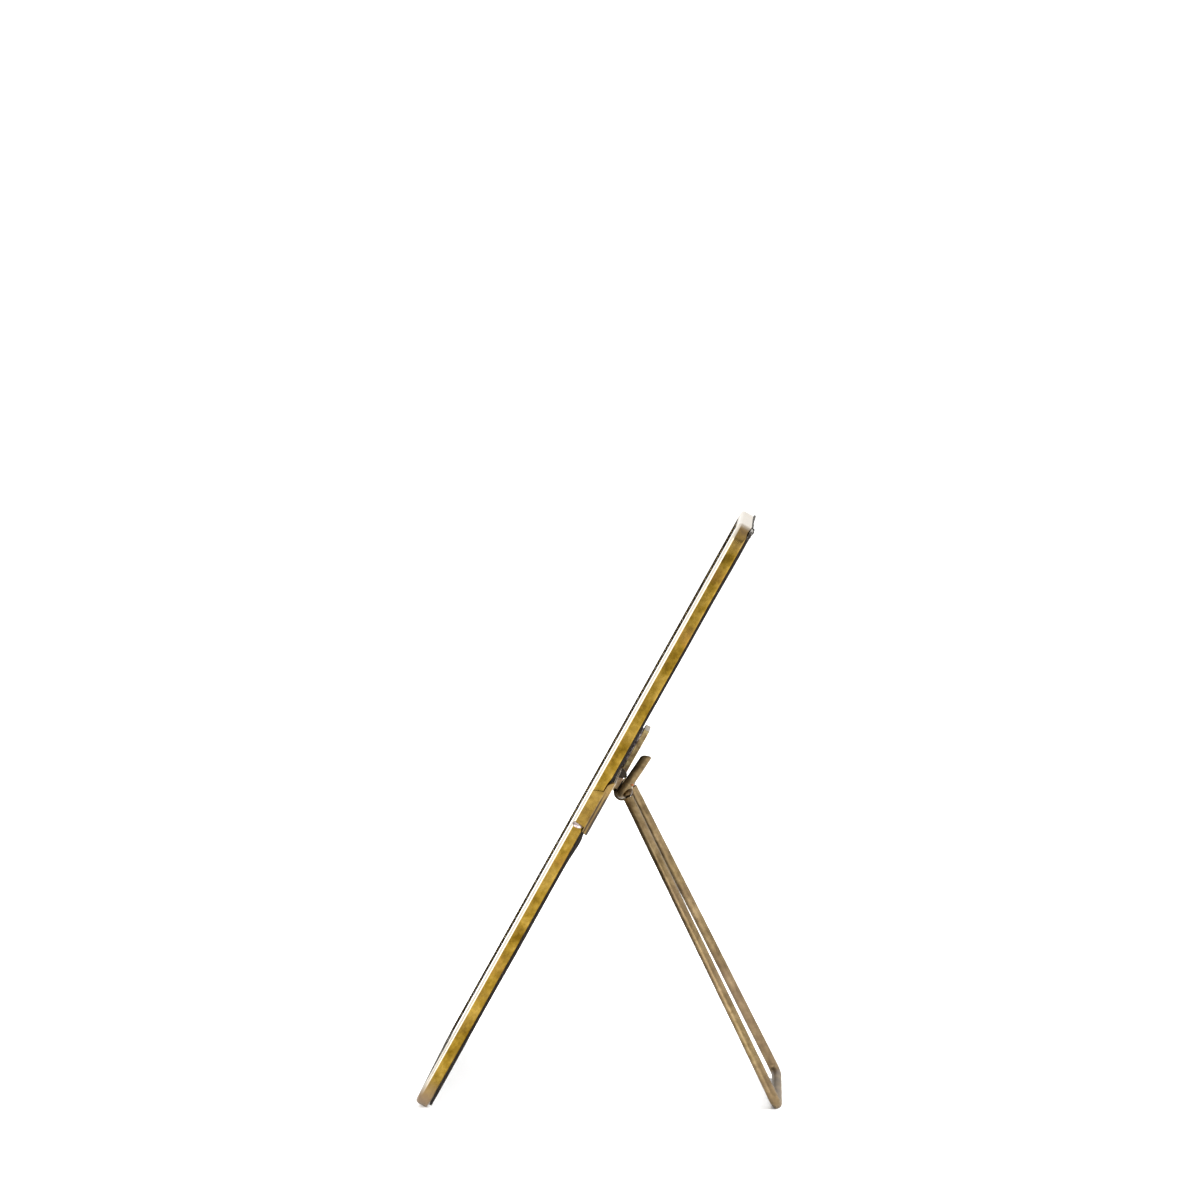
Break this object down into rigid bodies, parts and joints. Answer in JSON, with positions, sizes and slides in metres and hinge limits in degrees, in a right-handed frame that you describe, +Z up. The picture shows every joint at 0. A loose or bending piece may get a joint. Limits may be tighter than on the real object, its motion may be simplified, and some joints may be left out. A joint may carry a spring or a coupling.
{
  "type": "photo frame",
  "caption": "Brass-rimmed glass photo frame that leans back on a folding wire easel leg, with a sliding backing board.",
  "frame": {"origin": "under the middle of the standing object's bounding box, on the surface it stands on", "axes": "+Z up, X across the frame's width, the glazed front facing -Y and leaning back, the easel leg towards +Y"},
  "size_m": [0.1358, 0.1018, 0.1669],
  "materials": {
    "rim_brass": "antiqued, fine scratches",
    "wire_brass": "antiqued, drawn wire",
    "hinge_brass": "dull, soldered",
    "solder": "cast, grey",
    "braze": "heat-stained",
    "glass": "clear",
    "print": "satin photo paper, taken as a wood-fibre sheet",
    "card": "grey pulp card, taken as a wood-fibre sheet",
    "board": "black-coated fibreboard"
  },
  "bodies": {
    "frame": {"rim_upper": "rim_brass", "rim_lower": "rim_brass", "glass_pane": "glass", "picture_print": "print", "filler_card": "card", "back_strap": "rim_brass", "tab_solder_right": "solder", "tab_solder_left": "solder", "hinge_plate": "hinge_brass", "plate_solder": "solder", "stop_bead": "solder"},
    "board": {"backing_board": "board"},
    "easel": {"pivot_wire": "wire_brass", "leg_wire": "wire_brass", "braze_right": "braze", "braze_left": "braze"}
  },
  "joints": [
    {"name": "easel_hinge", "type": "hinge", "parent": "frame", "child": "easel", "pos_m": [0, -0.0001, 0.08586], "axis": [-1, 0, 0], "range_deg": [0, 56.2]},
    {"name": "board_slide", "type": "slide", "parent": "frame", "child": "board", "axis": [0, 0.4368, 0.8996], "range_m": [0, 0.19]}
  ]
}
